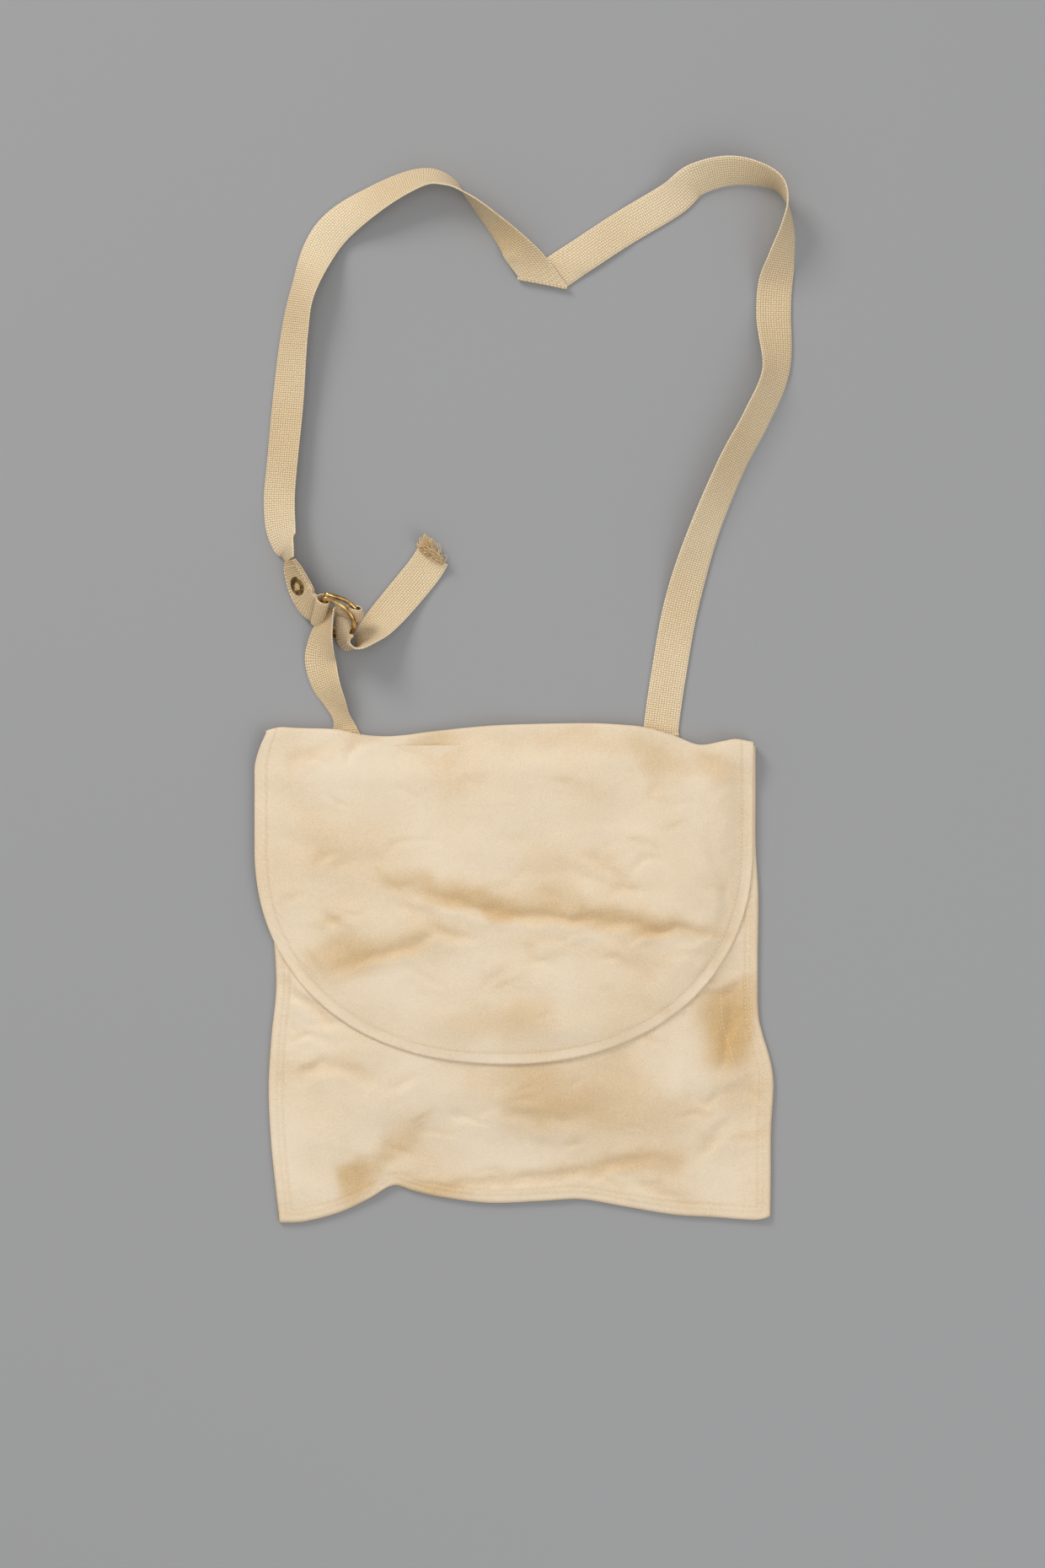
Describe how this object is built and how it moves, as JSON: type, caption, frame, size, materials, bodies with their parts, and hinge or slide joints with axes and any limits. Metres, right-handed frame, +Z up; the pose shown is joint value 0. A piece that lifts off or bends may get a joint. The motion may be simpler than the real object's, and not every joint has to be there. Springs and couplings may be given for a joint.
{
  "type": "mail sack",
  "caption": "Flat canvas shoulder bag for mail with a rounded flap, and a long webbing strap buckled through paired D-rings.",
  "frame": {"origin": "middle of the bag and its flap, on the surface that the bag lies on", "axes": "+X across the bag, to the right with the flap facing up; +Y from the bottom edge towards the flap's fold and the strap; +Z up, out of the flap"},
  "size_m": [0.3904, 0.7693, 0.0258],
  "materials": {
    "canvas": "matte",
    "lining": "matte",
    "webbing": "matte",
    "thread": "matte",
    "fastener": "matte",
    "brass": "polished"
  },
  "bodies": {
    "bag": {"back_panel": "canvas", "front_panel": "canvas", "left_seam_binding": "lining", "right_seam_binding": "lining", "bottom_seam_binding": "lining", "mouth_hem": "lining", "left_seam_thread": "thread", "right_seam_thread": "thread", "left_allowance_thread": "thread", "right_allowance_thread": "thread", "loop_patch": "fastener", "left_anchor_thread": "thread", "right_anchor_thread": "thread", "shoulder_strap": "webbing", "strap_end": "webbing", "ring_loop": "webbing", "loop_thread": "thread", "eyelet": "brass", "eyelet_washer": "brass", "billet_strap": "webbing", "billet_wrap": "webbing", "billet_tail": "webbing", "tail_fray": "webbing"},
    "flap": {"flap_fold": "canvas", "flap_outer": "canvas", "flap_lining": "lining", "flap_edge_thread": "thread", "hook_patch": "fastener", "hook_patch_thread": "thread"},
    "upper_ring": {"upper_d_ring": "brass"},
    "lower_ring": {"lower_d_ring": "brass"}
  },
  "joints": [
    {"name": "flap_hinge", "type": "hinge", "parent": "bag", "child": "flap", "pos_m": [0, 0.1784, 0.0038], "axis": [-1, 0, 0], "range_deg": [0, 125]},
    {"name": "upper_ring_swing", "type": "hinge", "parent": "bag", "child": "upper_ring", "pos_m": [-0.142, 0.2595, 0.0082], "axis": [-0.1219, -0.9925, 0], "range_deg": [0, 6]},
    {"name": "lower_ring_swing", "type": "hinge", "parent": "bag", "child": "lower_ring", "pos_m": [-0.142, 0.2595, 0.0043], "axis": [-0.1219, -0.9925, 0], "range_deg": [0, 4]}
  ]
}
